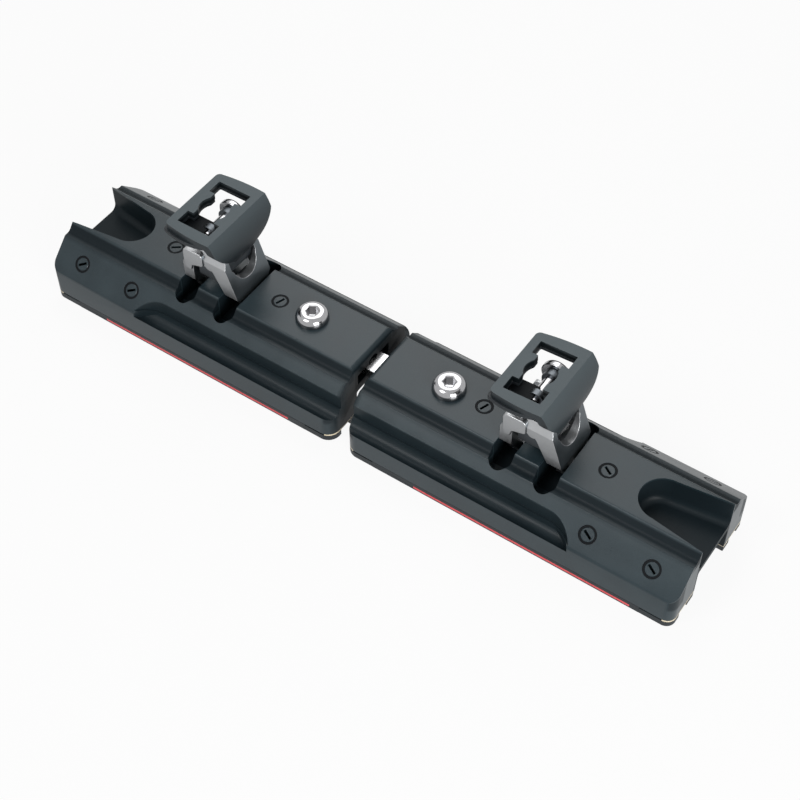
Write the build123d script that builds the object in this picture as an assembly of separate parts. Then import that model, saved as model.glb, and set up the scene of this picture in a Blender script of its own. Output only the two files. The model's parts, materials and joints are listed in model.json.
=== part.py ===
from build123d import *
import os
from math import cos, radians, sin, sqrt, tan

# Two coupled mainsheet traveller cars with stand-up toggles.
# Millimetres. X runs along the track, Y across it, Z up from the underside of the cars.

# Car body
car_length = 187.0
car_gap = 8.0
car_width = 75.6
deck_height = 38.7
deck_width = 32.4
shoulder_drop = 4.5
root_out = 20.0
shoulder_out = 23.4
flank_angle = 44.0
deck_round = 1.2
root_round = 4.0
shoulder_round = 1.0
skirt_round = 3.0
inner_end_round = 3.0
inner_corner_round = 7.0
outer_corner_round = 5.0

# Track channel
channel_width = 30.0
channel_roof = 19.5
channel_round = 1.5

# End caps, ball guides and ball retainers
cap_height = 4.0
guide_thickness = 1.0
cap_length = 17.0
cap_notch_depth = 6.0
cap_notch_near = 21.5
cap_notch_far = 29.5
leg_clearance = 0.4
slit_depth = 1.2
slit_length = 12.0
lip_height = 0.4
lip_width = 0.6
retainer_edge = 0.4
screw_inset = 5.0
screw_edge = 3.9
screw_shank = 3.0
screw_head = 5.5
screw_head_height = 2.0
screw_depth = 10.0

# Ball circuits
ball_flats = 9.0
ball_pitch = 9.9
race_radius = 5.15
race_out = 17.9
duct_out = 30.0
turn_inset = 14.0
turn_clearance = 0.15

# Side coves
cove_wall = 28.8
cove_depth = 21.2
cove_ledge = 1.1
cove_run = 114.0
cove_tip = 131.0
cove_lip_height = 19.4

# End pocket
pocket_length = 41.0
pocket_round = 12.6
pocket_mouth = 33.0
pocket_floor = 22.7
pocket_floor_round = 4.0

# Slotted plugs
deck_plug_offsets = (-34.4, 35.1)
side_plug_insets = (51.5, 17.3)
side_plug_out = 30.3
plug_diameter = 7.6
plug_fit = 0.05
plug_ring = 0.9
plug_ring_depth = 1.2
plug_slot = 1.3
plug_slot_length = 5.2
plug_slot_depth = 1.4
side_plug_depth = 5.0
side_plug_turns = (-25.0, 48.0, 62.0, 20.0)
deck_plug_turns = (70.0, 35.0)

# Red line along the near retainer
stripe_height = 1.3
stripe_base = 1.2
stripe_depth = 0.4
stripe_margins = {"a": (28.0, 36.0), "b": (42.0, 22.0)}

# Coupler
coupler_x = 38.0
link_width = 14.0
link_eye_radius = 12.0
link_thickness = 6.0
link_drop = 8.0
link_gap = 0.3
link_side_gap = 1.6
bush_radius = 7.0
bolt_radius = 5.0
bolt_head = 17.5
bolt_head_height = 5.5
bolt_socket = 6.0
bolt_socket_depth = 3.2
running_fit = 0.05

# Toggle base, on its pin below the deck
toggle_x = 93.0
trench_length = 51.2
trench_width = 11.9
trench_spacing = 25.1
trench_floor = 23.0
base_pin_height = 29.8
base_pin_radius = 4.0
base_pin_length = 72.0
leg_eye_radius = 6.4
leg_outer = 17.3
base_half_depth = 14.0
arm_inner = 9.8
arm_top = 24.0
arm_top_half = 11.4
arm_root = 4.0
arch_apex = 11.8
arch_half = 6.9
bowl_half = 10.7
bowl_floor = 5.5
saddle_floor = 8.5
saddle_round = 7.0
boss_radius = 6.0
boss_proud = 0.8

# Toggle yoke, on its pin through the arms of the base
yoke_pin_rise = 17.0
yoke_pin_radius = 3.0
hub_radius = 10.2
hub_half_depth = 9.4
neck_half = 6.2
neck_half_depth = 5.9
neck_foot = 20.0
neck_top = 24.6
block_pin_rise = 33.0
block_pin_radius = 3.5
fork_gap = 10.4
fork_cheek = 3.8
fork_root = 27.4
fork_root_round = 4.0
block_pin_head = 6.2
block_pin_head_length = 5.4
block_pin_rim = 2.4
block_pin_tail = 2.4
lean = {"a": 0.0, "b": -7.0}

# Stand-up hood over the yoke
hood_top = 46.0
hood_plate = 3.6
hood_left = -15.9
hood_right = 11.3
hood_bulge = 15.2
hood_bulge_rise = 32.5
hood_foot = 8.5
hood_foot_rise = 21.0
hood_foot_end = -8.8
hood_wall = 3.2
hood_half_depth = 21.6
hood_crown = 1.8
hood_taper_rise = 40.5
hood_tongue = 9.2
hood_tongue_rise = 27.0
window_half = 10.3
window_half_depth = 16.8
window_waist = 7.6
window_bulge = 0.9
window_tab = 9.0
liner_thickness = 2.2
liner_proud = 1.4
liner_slit = 2.7
liner_step = -4.5

inner_x = car_gap / 2
mid_x = inner_x + car_length / 2
half_width = car_width / 2
screw_out = half_width - screw_edge
body_foot = cap_height + guide_thickness
shoulder_height = deck_height - shoulder_drop
ball_height = body_foot + ball_flats / 2
link_top = deck_height - link_drop
link_base = link_top - link_thickness
circuit_out = (race_out + duct_out) / 2
circuit_radius = (duct_out - race_out) / 2
turn_radius = circuit_radius + race_radius
sides = (-1, 1)
bottom = (Align.CENTER, Align.CENTER, Align.MIN)
top = (Align.CENTER, Align.CENTER, Align.MAX)


def along(x):
    return inner_x + x


def raised(face, height):
    return extrude(face, height, dir=(0, 0, 1))


def drawn(face, length):
    return extrude(Plane.YZ * face, length, dir=(1, 0, 0))


def rounded(face, corners):
    for y, z, radius in corners:
        picked = [v for v in face.vertices() if abs(abs(v.X) - y) < 0.01 and abs(v.Y - z) < 0.01]
        face = fillet(picked, radius)
    return face


def flank_height(y):
    return shoulder_height - (y - shoulder_out) * tan(radians(flank_angle))


def body_section():
    half = [
        (deck_width / 2, deck_height),
        (root_out, shoulder_height),
        (shoulder_out, shoulder_height),
        (half_width, flank_height(half_width)),
        (half_width, body_foot),
        (channel_width / 2, body_foot),
        (channel_width / 2, channel_roof),
    ]
    face = Polygon(*half, *[(-y, z) for y, z in reversed(half)], align=None)
    return rounded(
        face,
        (
            (deck_width / 2, deck_height, deck_round),
            (root_out, shoulder_height, root_round),
            (shoulder_out, shoulder_height, shoulder_round),
            (half_width, flank_height(half_width), skirt_round),
            (channel_width / 2, channel_roof, channel_round),
        ),
    )


def car_plan(inset=0.0):
    # The outline of a car seen from above, with larger corners at the coupled end
    face = Pos(mid_x, 0) * Rectangle(car_length, car_width - 2 * inset)
    ends = face.vertices().sort_by(Axis.X)
    face = fillet(ends[:2], inner_corner_round)
    ends = face.vertices().sort_by(Axis.X)
    return fillet(ends[-2:], outer_corner_round)


def body_blank():
    blank = Pos(inner_x, 0, 0) * drawn(body_section(), car_length)
    blank &= raised(car_plan(), deck_height)
    side = Pos(mid_x, deck_height / 2) * Rectangle(car_length, deck_height)
    side = fillet(side.vertices().sort_by(Axis.X)[:2].sort_by(Axis.Y)[-1:], inner_end_round)
    return blank & extrude(Plane.XZ * side, car_width, both=True)


def cove(side):
    # Plan of the cove: a straight wall that sweeps out to the skirt at its far end
    reach = half_width + 2.0
    sweep = cove_tip - cove_run
    spread = reach - cove_wall

    def plan(shift):
        start = cove_wall + shift
        end = along(cove_run) + sweep
        outline = Polyline((along(-2.0), 2 * reach), (along(-2.0), start), (along(cove_run), start))
        bend = TangentArc((along(cove_run), start), (end, start + spread), tangent=(1, 0))
        close = Polyline((end, start + spread), (end, 2 * reach), (along(-2.0), 2 * reach))
        return make_face(outline + bend + close)

    ledge_height = deck_height - cove_depth + 3.6
    upper = Pos(0, 0, ledge_height) * raised(plan(0.0), deck_height)
    arc = ThreePointArc(
        (cove_wall + cove_ledge, ledge_height),
        (cove_wall + cove_ledge + 2.9, deck_height - cove_depth - 0.6),
        (reach, deck_height - cove_lip_height + 0.6),
    )
    close = Polyline(
        (reach, deck_height - cove_lip_height + 0.6),
        (reach, deck_height),
        (cove_wall + cove_ledge, deck_height),
        (cove_wall + cove_ledge, ledge_height),
    )
    floor = Pos(along(-2.0), 0, 0) * drawn(make_face(arc + close), cove_tip + 8.0)
    lower = floor & raised(plan(cove_ledge), deck_height)
    tool = upper + lower
    return tool if side > 0 else mirror(tool, Plane.XZ)


def end_pocket():
    start = along(car_length - pocket_length)
    centre = start + pocket_round
    mouth = along(car_length) + 2.0
    flare = Polygon(
        (centre, -pocket_round),
        (mouth, -pocket_mouth / 2),
        (mouth, pocket_mouth / 2),
        (centre, pocket_round),
        align=None,
    )
    tool = Pos(0, 0, pocket_floor) * raised(flare + Pos(centre, 0) * Circle(pocket_round), deck_height)
    floor_edges = [e for e in tool.edges().group_by(Axis.Z)[0] if e.center().X < mouth - 0.1]
    return fillet(floor_edges, pocket_floor_round)


def toggle_trenches():
    plan = Rot(0, 0, 90) * SlotOverall(trench_length, trench_width)
    tool = Pos(0, 0, trench_floor) * raised(plan, deck_height)
    return [Pos(along(toggle_x) + s * trench_spacing / 2, 0, 0) * tool for s in sides]


def link_slot():
    height = link_thickness + 2 * link_gap
    eye = Pos(along(coupler_x), 0) * Circle(link_eye_radius + link_side_gap)
    mouth = Pos(inner_x, 0) * Rectangle(2 * coupler_x, 2 * (link_eye_radius + link_side_gap))
    return Pos(0, 0, link_base - link_gap) * raised(eye + mouth, height)


def ball_channels(side):
    length = car_length - 2 * turn_inset
    cuts = []
    for out in (race_out, duct_out):
        bore = Pos(mid_x, side * out, ball_height) * Rot(0, 90, 0) * Cylinder(race_radius, length + 0.02)
        slot = Box(length + 0.02, 2 * race_radius, 2 * ball_height, align=top)
        slot = Pos(mid_x, side * out, ball_height) * slot
        cuts += [bore, slot]
    for x, way in ((along(turn_inset), -1), (along(car_length - turn_inset), 1)):
        disc = Cylinder(turn_radius + turn_clearance, turn_height(), align=bottom)
        half = Pos(way * turn_radius, 0, 0) * Box(2 * turn_radius, 4 * turn_radius, 2 * turn_height())
        cuts.append(Pos(x, side * circuit_out, body_foot) * (disc & half))
    return cuts


def turn_height():
    return ball_height + race_radius - body_foot + 0.4


def plug_seat(depth):
    ring = Cylinder(plug_diameter / 2 + plug_ring, plug_ring_depth, align=top)
    hole = Cylinder(plug_diameter / 2 + plug_fit, depth, align=top)
    proud = Cylinder(plug_diameter / 2 + plug_ring, 2.0, align=bottom)
    return proud + ring + hole


def slotted_plug(depth, turn):
    plug = Cylinder(plug_diameter / 2, depth, align=top)
    plug = chamfer(plug.edges().group_by(Axis.Z)[-1], 0.3)
    return plug - Rot(0, 0, turn) * Box(plug_slot_length, plug_slot, 2 * plug_slot_depth)


def side_plug_places():
    places = []
    for side in sides:
        for inset in side_plug_insets:
            place = Pos(along(car_length - inset), side * side_plug_out, flank_height(side_plug_out))
            places.append(place * Rot(-side * flank_angle, 0, 0))
    return places


def deck_plug_places():
    return [Pos(along(toggle_x + shift), 0, deck_height) for shift in deck_plug_offsets]


def deck_plug_depth():
    return deck_height - base_pin_height - base_pin_radius


def cap_screw_places():
    places = []
    for side in sides:
        for x in (screw_inset, car_length - screw_inset):
            places.append(Pos(along(x), side * screw_out, 0))
    return places


def car_body():
    body = body_blank()
    for side in sides:
        body -= cove(side)
        body -= ball_channels(side)
    body -= end_pocket()
    body -= toggle_trenches()
    body -= link_slot()
    pin_length = along(toggle_x) + base_pin_length / 2
    body -= Pos(0, 0, base_pin_height) * Rot(0, 90, 0) * Cylinder(base_pin_radius, pin_length, align=bottom)
    bolt = Cylinder(bolt_radius + running_fit, deck_height, align=bottom)
    body -= Pos(along(coupler_x), 0, channel_roof) * bolt
    body -= [place * plug_seat(side_plug_depth) for place in side_plug_places()]
    body -= [place * plug_seat(deck_plug_depth()) for place in deck_plug_places()]
    body -= [place * Cylinder(screw_shank / 2, screw_depth, align=bottom) for place in cap_screw_places()]
    return body


def corner_plan(side, end, inset=0.0):
    # Plan of the piece under one corner of a leg; end is -1 at the coupled end
    middle = along(cap_length / 2) if end < 0 else along(car_length - cap_length / 2)
    depth = half_width - channel_width / 2 - leg_clearance
    block = Pos(middle, side * (half_width - depth / 2)) * Rectangle(cap_length, depth)
    return block & car_plan(inset)


def end_cap(side, end):
    cap = raised(corner_plan(side, end), cap_height)
    edge = inner_x if end < 0 else inner_x + car_length
    notch_width = cap_notch_far - cap_notch_near
    notch = Box(2 * cap_notch_depth, notch_width, 4 * cap_height)
    cap -= Pos(edge, side * (cap_notch_near + cap_notch_far) / 2, 0) * notch
    cap = chamfer(cap.faces().sort_by(Axis.Z)[0].outer_wire().edges(), 0.5)
    for place in cap_screw_places():
        cap -= place * Cylinder(screw_head / 2 + 0.1, screw_head_height, align=bottom)
        cap -= place * Cylinder(screw_shank / 2, cap_height, align=bottom)
    return cap


def ball_guide(side, end):
    plate = Pos(0, 0, cap_height) * raised(corner_plan(side, end), guide_thickness)
    x = along(turn_inset) if end < 0 else along(car_length - turn_inset)
    disc = Pos(x, side * circuit_out, body_foot) * Cylinder(turn_radius, turn_height() - 0.1, align=bottom)
    leg = raised(corner_plan(side, end), deck_height)
    half = Pos(x + end * turn_radius, 0, 0) * Box(2 * turn_radius, car_width, 2 * deck_height)
    guide = plate + (disc & leg & half)
    groove = Cylinder(circuit_radius + race_radius - 0.1, turn_height(), align=bottom)
    groove -= Cylinder(circuit_radius - race_radius + 0.1, turn_height(), align=bottom)
    guide -= Pos(x, side * circuit_out, body_foot) * groove
    slit_middle = cap_length - slit_length / 2 + 0.5
    slit_x = along(slit_middle) if end < 0 else along(car_length - slit_middle)
    slit = Box(slit_length + 1.0, 2 * slit_depth, 4 * guide_thickness)
    guide -= Pos(slit_x, side * half_width, cap_height) * slit
    for place in cap_screw_places():
        guide -= place * Cylinder(screw_shank / 2, deck_height, align=bottom)
    return guide


def cap_screw():
    head = Cylinder(screw_head / 2, screw_head_height - 0.3, align=bottom)
    shank = Cylinder(screw_shank / 2, screw_depth - 0.3, align=bottom)
    screw = Pos(0, 0, 0.3) * (head + shank)
    return screw - Cylinder(1.25, 1.4, align=bottom)


def retainer_section():
    inner = channel_width / 2
    outline = [
        (inner + leg_clearance, 0.0),
        (half_width - retainer_edge, 0.0),
        (half_width, retainer_edge),
        (half_width, body_foot - retainer_edge),
        (half_width - retainer_edge, body_foot),
        (inner + leg_clearance + lip_width, body_foot),
        (inner + leg_clearance, body_foot + lip_height),
    ]
    return Polygon(*outline, align=None)


def ball_retainer(side):
    length = car_length - 2 * cap_length
    bar = Pos(along(cap_length), 0, 0) * drawn(retainer_section(), length)
    return bar if side > 0 else mirror(bar, Plane.XZ)


def red_stripe(car):
    inner, outer = stripe_margins[car]
    length = car_length - inner - outer
    line = Box(length, stripe_depth, stripe_height, align=(Align.MIN, Align.MAX, Align.MIN))
    line = Pos(along(inner), half_width, stripe_base) * line
    return line if near_side(car) > 0 else mirror(line, Plane.XZ)


def ball():
    # A bearing ball drawn with 26 flats, because a car holds so many of them
    middles = [(1, 0, 0), (0, 1, 0), (0, 0, 1)]
    edges = [(1, 1, 0), (1, -1, 0), (1, 0, 1), (1, 0, -1), (0, 1, 1), (0, 1, -1)]
    corners = [(1, 1, 1), (1, 1, -1), (1, -1, 1), (1, -1, -1)]
    solid = Box(2 * ball_flats, 2 * ball_flats, 2 * ball_flats)
    for way in middles + edges + corners:
        solid &= Plane((0, 0, 0), z_dir=way) * Box(3 * ball_flats, 3 * ball_flats, ball_flats)
    return solid


def ball_row(side):
    one = ball()
    ball_count = int((car_length - 2 * turn_inset) / ball_pitch)
    start = mid_x - (ball_count - 1) / 2 * ball_pitch
    return [Pos(start + i * ball_pitch, side * race_out, ball_height) * one for i in range(ball_count)]


def coupler_link():
    reach = inner_x + coupler_x
    bar = Rectangle(2 * reach, link_width)
    for s in sides:
        bar += Pos(s * reach, 0) * Circle(link_eye_radius)
    inner_corners = [v for v in bar.vertices() if abs(v.X) < reach]
    bar = fillet(inner_corners, 4.0)
    for s in sides:
        bar -= Pos(s * reach, 0) * Circle(bush_radius + running_fit)
    link = Pos(0, 0, link_base) * raised(bar, link_thickness)
    rim = [e for e in link.edges() if e.geom_type == GeomType.LINE and abs(e.center().Z - link_top) < 0.01]
    return chamfer(rim, 0.5)


def coupler_bush():
    height = link_thickness + 2 * link_gap
    ring = Circle(bush_radius) - Circle(bolt_radius + running_fit)
    return Pos(along(coupler_x), 0, link_base - link_gap) * raised(ring, height)


def coupler_screw():
    crown = bolt_head * 0.29
    profile = [(0, 0), (bolt_head / 2, 0), (bolt_head / 2, 0.9)]
    bend = (bolt_head * 0.41, 0.68 * bolt_head_height)
    dome = ThreePointArc((bolt_head / 2, 0.9), bend, (crown, bolt_head_height))
    close = Polyline((crown, bolt_head_height), (0, bolt_head_height), (0, 0))
    head = revolve(Plane.XZ * make_face(Polyline(*profile) + dome + close), Axis.Z)
    hexagon = RegularPolygon(bolt_socket / sqrt(3), 6)
    socket = Pos(0, 0, bolt_head_height - bolt_socket_depth) * raised(hexagon, bolt_head_height)
    length = deck_height - channel_roof - 0.4
    shank = Cylinder(bolt_radius, length, align=top)
    return Pos(along(coupler_x), 0, deck_height) * (head - socket + shank)


def base_pin():
    pin = Rot(0, 90, 0) * Cylinder(base_pin_radius, base_pin_length)
    pin = chamfer(pin.edges().filter_by(GeomType.CIRCLE), 0.6)
    return Pos(along(toggle_x), 0, base_pin_height) * pin


def base_blank():
    # Side view across the car: an eye at the foot that widens to the arms
    eye_drop = deck_height - base_pin_height
    front = Pos(0, -eye_drop) * Circle(leg_eye_radius)
    cheeks = Polygon(
        (-leg_eye_radius, -eye_drop),
        (leg_eye_radius, -eye_drop),
        (base_half_depth, 2.0),
        (base_half_depth, arm_top - 4.0),
        (base_half_depth - 2.6, arm_top),
        (-base_half_depth + 2.6, arm_top),
        (-base_half_depth, arm_top - 4.0),
        (-base_half_depth, 2.0),
        align=None,
    )
    blank = extrude(Plane.YZ * (front + cheeks), leg_outer, both=True)
    # Side view along the car: upright legs that lean in towards the arms
    drop = -eye_drop - leg_eye_radius
    gable = Polygon(
        (-leg_outer, drop),
        (leg_outer, drop),
        (leg_outer, arm_root),
        (arm_top_half, arm_top),
        (-arm_top_half, arm_top),
        (-leg_outer, arm_root),
        align=None,
    )
    gable = rounded(gable, ((arm_top_half, arm_top, 3.5), (leg_outer, arm_root, 6.0)))
    return blank & extrude(Plane.XZ * gable, base_half_depth, both=True)


def saddle():
    # The notch across both end faces, open upwards, with a rounded floor
    height = arm_top + 5.0 - saddle_floor
    notch = Pos(0, saddle_floor + height / 2) * Rectangle(2 * arm_inner, height)
    notch = fillet(notch.vertices().sort_by(Axis.Y)[:2], saddle_round)
    return extrude(Plane.YZ * notch, 2 * leg_outer, both=True)


def leg_arch():
    drop = deck_height
    spring = arch_apex - arch_half
    arch = Pos(0, spring) * Circle(arch_half)
    arch += Pos(0, (spring - drop) / 2) * Rectangle(2 * arch_half, spring + drop)
    return extrude(Plane.XZ * arch, 2 * base_half_depth, both=True)


def toggle_base():
    base = base_blank() - saddle() - leg_arch()
    bowl = Pos(0, 0, bowl_floor) * Box(2 * bowl_half, 2 * arm_inner, 2 * arm_top, align=bottom)
    base -= bowl
    for side in sides:
        boss = Rot(90, 0, 0) * Cylinder(boss_radius, boss_proud + 2.0)
        base += Pos(0, side * (base_half_depth + boss_proud / 2 - 1.0), yoke_pin_rise) * boss
    base -= Pos(0, 0, yoke_pin_rise) * Rot(90, 0, 0) * Cylinder(yoke_pin_radius, 4 * base_half_depth)
    bore = base_pin_radius + running_fit
    base -= Pos(0, 0, base_pin_height - deck_height) * Rot(0, 90, 0) * Cylinder(bore, 4 * leg_outer)
    return Pos(0, 0, deck_height) * base


def yoke_pin():
    pin = Rot(90, 0, 0) * Cylinder(yoke_pin_radius, 2 * (base_half_depth + boss_proud))
    pin = chamfer(pin.edges().filter_by(GeomType.CIRCLE), 0.5)
    return Pos(0, 0, deck_height + yoke_pin_rise) * pin


def toggle_yoke():
    # A drum on the lower pin, a neck that the hood grips, and a fork for the block's pin
    fork_half = fork_gap / 2 + fork_cheek
    drum = Pos(0, yoke_pin_rise) * Circle(hub_radius)
    drum &= Pos(0, neck_foot - hub_radius) * Rectangle(2 * hub_radius, 2 * hub_radius)
    yoke = extrude(Plane.XZ * drum, hub_half_depth, both=True)
    neck_height = neck_top - yoke_pin_rise
    yoke += Pos(0, 0, yoke_pin_rise) * Box(2 * neck_half, 2 * neck_half_depth, neck_height, align=bottom)
    head_height = block_pin_rise - neck_top
    head = Pos(0, block_pin_rise) * Circle(neck_half)
    head += Pos(0, neck_top + head_height / 2) * Rectangle(2 * neck_half, head_height)
    yoke += extrude(Plane.XZ * head, fork_half, both=True)
    gap = Pos(0, fork_root + block_pin_rise / 2) * Rectangle(fork_gap, block_pin_rise)
    gap = fillet(gap.vertices().sort_by(Axis.Y)[:2], fork_root_round)
    yoke -= extrude(Plane.YZ * gap, 2 * neck_half, both=True)
    bore = Rot(90, 0, 0) * Cylinder(yoke_pin_radius + running_fit, 4 * hub_half_depth)
    yoke -= Pos(0, 0, yoke_pin_rise) * bore
    yoke -= Pos(0, 0, block_pin_rise) * Rot(90, 0, 0) * Cylinder(block_pin_radius, 4 * hub_half_depth)
    return Pos(0, 0, deck_height) * yoke


def block_pin():
    fork_half = fork_gap / 2 + fork_cheek
    shank = [(0, -fork_half - block_pin_tail), (block_pin_radius, -fork_half - block_pin_tail)]
    shank += [(block_pin_radius, fork_half), (block_pin_head, fork_half)]
    shank += [(block_pin_head, fork_half + block_pin_rim)]
    tip = fork_half + block_pin_head_length
    dome = TangentArc((0, tip), (block_pin_head, fork_half + block_pin_rim), tangent=(1, 0))
    close = Line((0, tip), (0, -fork_half - block_pin_tail))
    face = make_face(Polyline(*shank) + dome + close)
    return Pos(0, 0, deck_height + block_pin_rise) * revolve(face, Axis.Y)


def hood_plan(proud=0.0):
    # Top of the hood from above: straight sides and bowed near and far edges
    left = hood_left - proud
    right = hood_right + proud
    end = hood_half_depth - hood_crown + proud
    middle = (left + right) / 2
    far = ThreePointArc((left, end), (middle, end + hood_crown), (right, end))
    near = ThreePointArc((right, -end), (middle, -end - hood_crown), (left, -end))
    face = make_face(far + Line((right, end), (right, -end)) + near + Line((left, -end), (left, end)))
    return face


def hood_section():
    # End view: a flat top, one bowed wall and a foot that grips the yoke
    def wall(inset):
        start = (hood_right - inset, hood_top - inset)
        bulge = (hood_bulge - inset, hood_bulge_rise)
        foot = (hood_foot - inset * 0.5, hood_foot_rise + inset)
        return start, bulge, foot

    start, bulge, foot = wall(0.0)
    outer = ThreePointArc(start, bulge, foot)
    in_start, in_bulge, in_foot = wall(hood_wall)
    in_start = (in_start[0], hood_top - hood_plate)
    inner = ThreePointArc(in_foot, in_bulge, in_start)
    foot_run = Polyline(foot, (hood_foot_end, hood_foot_rise), (hood_foot_end, in_foot[1]), in_foot)
    roof = Polyline(in_start, (hood_left, hood_top - hood_plate), (hood_left, hood_top), start)
    return make_face(outer + foot_run + inner + roof)


def hood_front():
    # Front view: full depth at the top, drawn in to a tongue at the foot
    rise = hood_taper_rise
    bend = (hood_tongue + (hood_half_depth - hood_tongue) * 0.72, rise - (rise - hood_tongue_rise) * 0.52)
    right = ThreePointArc((hood_half_depth, rise), bend, (hood_tongue, hood_tongue_rise))
    left = ThreePointArc((-hood_tongue, hood_tongue_rise), (-bend[0], bend[1]), (-hood_half_depth, rise))
    low = hood_foot_rise - 1.0
    foot = Polyline(
        (hood_tongue, hood_tongue_rise),
        (hood_tongue, low),
        (-hood_tongue, low),
        (-hood_tongue, hood_tongue_rise),
    )
    head = Polyline(
        (-hood_half_depth, rise),
        (-hood_half_depth, hood_top + 1.0),
        (hood_half_depth, hood_top + 1.0),
        (hood_half_depth, rise),
    )
    return make_face(right + foot + left + head)


def window_plan():
    # Wide slots at both ends for the fork, waist with bowed sides for the block's eye
    centre = (hood_left + hood_right) / 2
    wide = window_half_depth - window_tab
    plan = Rectangle(2 * window_waist, 2 * window_half_depth)
    for s in sides:
        plan += Pos(0, s * (window_tab + wide / 2)) * Rectangle(2 * window_half, wide)
        end = window_tab - 2.0
        x = s * window_waist
        bow = ThreePointArc((x, -end), (x + s * window_bulge, 0), (x, end))
        plan += make_face(bow + Line((x, end), (x, -end)))
    return Pos(centre, 0) * plan


def toggle_hood():
    hood = extrude(Plane.XZ * hood_section(), hood_half_depth, both=True)
    hood &= extrude(Plane.YZ * hood_front(), 2 * hood_bulge, both=True)
    reach = hood_bulge + 2.0
    beyond = Rectangle(reach - hood_right, 2 * (hood_half_depth - hood_crown))
    bowed = hood_plan() + Pos((hood_right + reach) / 2, 0) * beyond
    hood &= raised(bowed, hood_top + 1.0)
    rim = [e for e in hood.edges() if e.center().Z > hood_top - 0.01 and e.center().X < hood_right - 0.5]
    hood = chamfer(rim, 0.6)
    hood -= Pos(0, 0, hood_top - hood_plate - 1.0) * raised(window_plan(), hood_top)
    hood -= Pos(0, 0, hood_foot_rise) * Box(2 * neck_half, 2 * neck_half_depth, 2 * hood_wall)
    return Pos(0, 0, deck_height) * hood


def hood_liner():
    under = hood_top - hood_plate
    plan = hood_plan(liner_proud) & Pos(hood_left - liner_proud + 20.0, 0) * Rectangle(40.0, 80.0)
    inner_wall = hood_right - hood_wall
    plan &= Pos(inner_wall - 30.0, 0) * Rectangle(60.0, 80.0)
    centre = (hood_left + hood_right) / 2
    right = centre + window_half
    left = centre - window_half
    far = Rectangle(right - left, window_half_depth - liner_step)
    far = Pos((left + right) / 2, (liner_step + window_half_depth) / 2) * far
    slit_depth_y = window_half_depth + liner_step
    slit = Rectangle(liner_slit, slit_depth_y)
    slit = Pos(right - liner_slit / 2, (liner_step - window_half_depth) / 2) * slit
    plate = raised(plan - far - slit, liner_thickness)
    return Pos(0, 0, deck_height + under - liner_thickness) * plate


def in_car(solid, car):
    return Rot(0, 0, 180) * solid if car == "a" else solid


def at_toggle(solid, car):
    x = along(toggle_x)
    return Pos(-x if car == "a" else x, 0, 0) * solid


def leaned(solid, car):
    pivot = deck_height + yoke_pin_rise
    turned = Pos(0, 0, pivot) * Rot(0, lean[car], 0) * Pos(0, 0, -pivot) * solid
    return at_toggle(turned, car)


def near_side(car):
    return 1 if car == "a" else -1


def write(name, solids):
    shapes = solids if isinstance(solids, list) else [solids]
    parts = [solid for shape in shapes for solid in shape.solids()]
    export_step(Compound(children=parts) if len(parts) > 1 else parts[0], f"parts/{name}.step")


def write_car(car):
    def put(name, solids):
        shapes = solids if isinstance(solids, list) else [solids]
        write(f"{name}_{car}", [in_car(shape, car) for shape in shapes])

    put("car_body", car_body())
    for side in sides:
        where = "near" if side == near_side(car) else "far"
        for end, name in ((-1, "inner"), (1, "outer")):
            put(f"end_cap_{name}_{where}", end_cap(side, end))
            put(f"ball_guide_{name}_{where}", ball_guide(side, end))
        retainer = ball_retainer(side)
        if where == "near":
            retainer -= red_stripe(car)
            put("red_stripe", red_stripe(car))
        put(f"ball_retainer_{where}", retainer)
        put(f"ball_row_{where}", ball_row(side))
    put("cap_screws", [place * cap_screw() for place in cap_screw_places()])
    turns = zip(side_plug_places(), side_plug_turns)
    put("side_plugs", [place * slotted_plug(side_plug_depth, turn) for place, turn in turns])
    turns = zip(deck_plug_places(), deck_plug_turns)
    put("deck_plugs", [place * slotted_plug(deck_plug_depth(), turn) for place, turn in turns])
    put("coupler_bush", coupler_bush())
    put("coupler_screw", coupler_screw())
    put("base_pin", base_pin())


def write_toggle(car):
    write(f"toggle_base_{car}", at_toggle(toggle_base(), car))
    write(f"yoke_pin_{car}", at_toggle(yoke_pin(), car))
    write(f"toggle_yoke_{car}", leaned(toggle_yoke(), car))
    write(f"block_pin_{car}", leaned(block_pin(), car))
    write(f"toggle_hood_{car}", leaned(toggle_hood(), car))
    write(f"hood_liner_{car}", leaned(hood_liner(), car))


os.makedirs("parts", exist_ok=True)
write("coupler_link", coupler_link())
for car in ("a", "b"):
    write_car(car)
    write_toggle(car)
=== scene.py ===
import json
from math import acos, atan2, cos, degrees, pi, radians, sin, tan

import bmesh
import bpy
from mathutils import Matrix, Vector

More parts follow.
